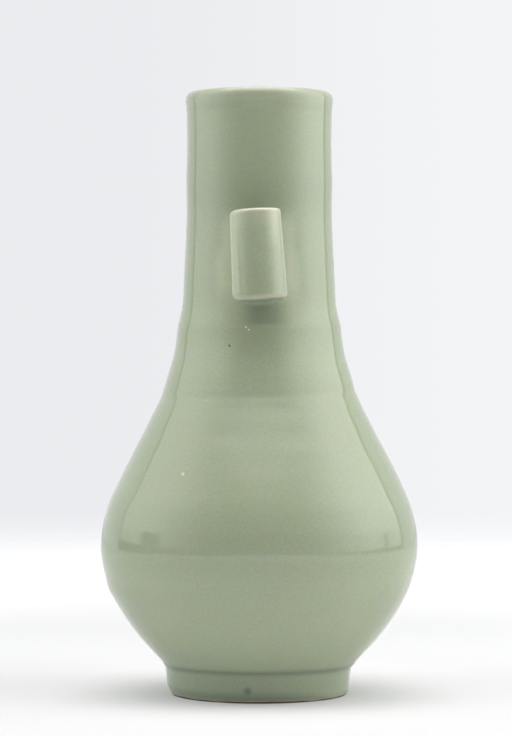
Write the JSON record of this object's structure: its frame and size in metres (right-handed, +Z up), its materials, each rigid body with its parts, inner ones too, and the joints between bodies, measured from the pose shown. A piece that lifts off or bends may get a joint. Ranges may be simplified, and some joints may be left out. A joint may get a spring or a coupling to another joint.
{
  "type": "porcelain arrow vase",
  "caption": "Pear-shaped green-glazed porcelain vase with a straight open neck, a rolled lip, short tubular lugs on the neck and a turned foot ring.",
  "frame": {"origin": "centre of the foot ring, on the surface that the vase stands on", "axes": "+Z up through the mouth, -Y towards the lug that leans the more (the front), +X to the right seen from the front"},
  "size_m": [0.1266, 0.1266, 0.24],
  "materials": {
    "bare_clay": "matte",
    "clay_body": "matte",
    "luting_slip": "matte",
    "green_glaze": "gloss",
    "inner_glaze": "gloss"
  },
  "bodies": {
    "root": {"foot_ring": "bare_clay", "lower_belly": "clay_body", "upper_belly": "clay_body", "neck_flare": "clay_body", "neck_tube": "clay_body", "lug_front": "clay_body", "lug_back": "clay_body", "slip_front": "luting_slip", "slip_back": "luting_slip", "glaze_outside": "green_glaze", "glaze_inside": "inner_glaze", "glaze_base": "inner_glaze", "glaze_lug_front": "green_glaze", "glaze_lug_back": "green_glaze"}
  },
  "joints": []
}
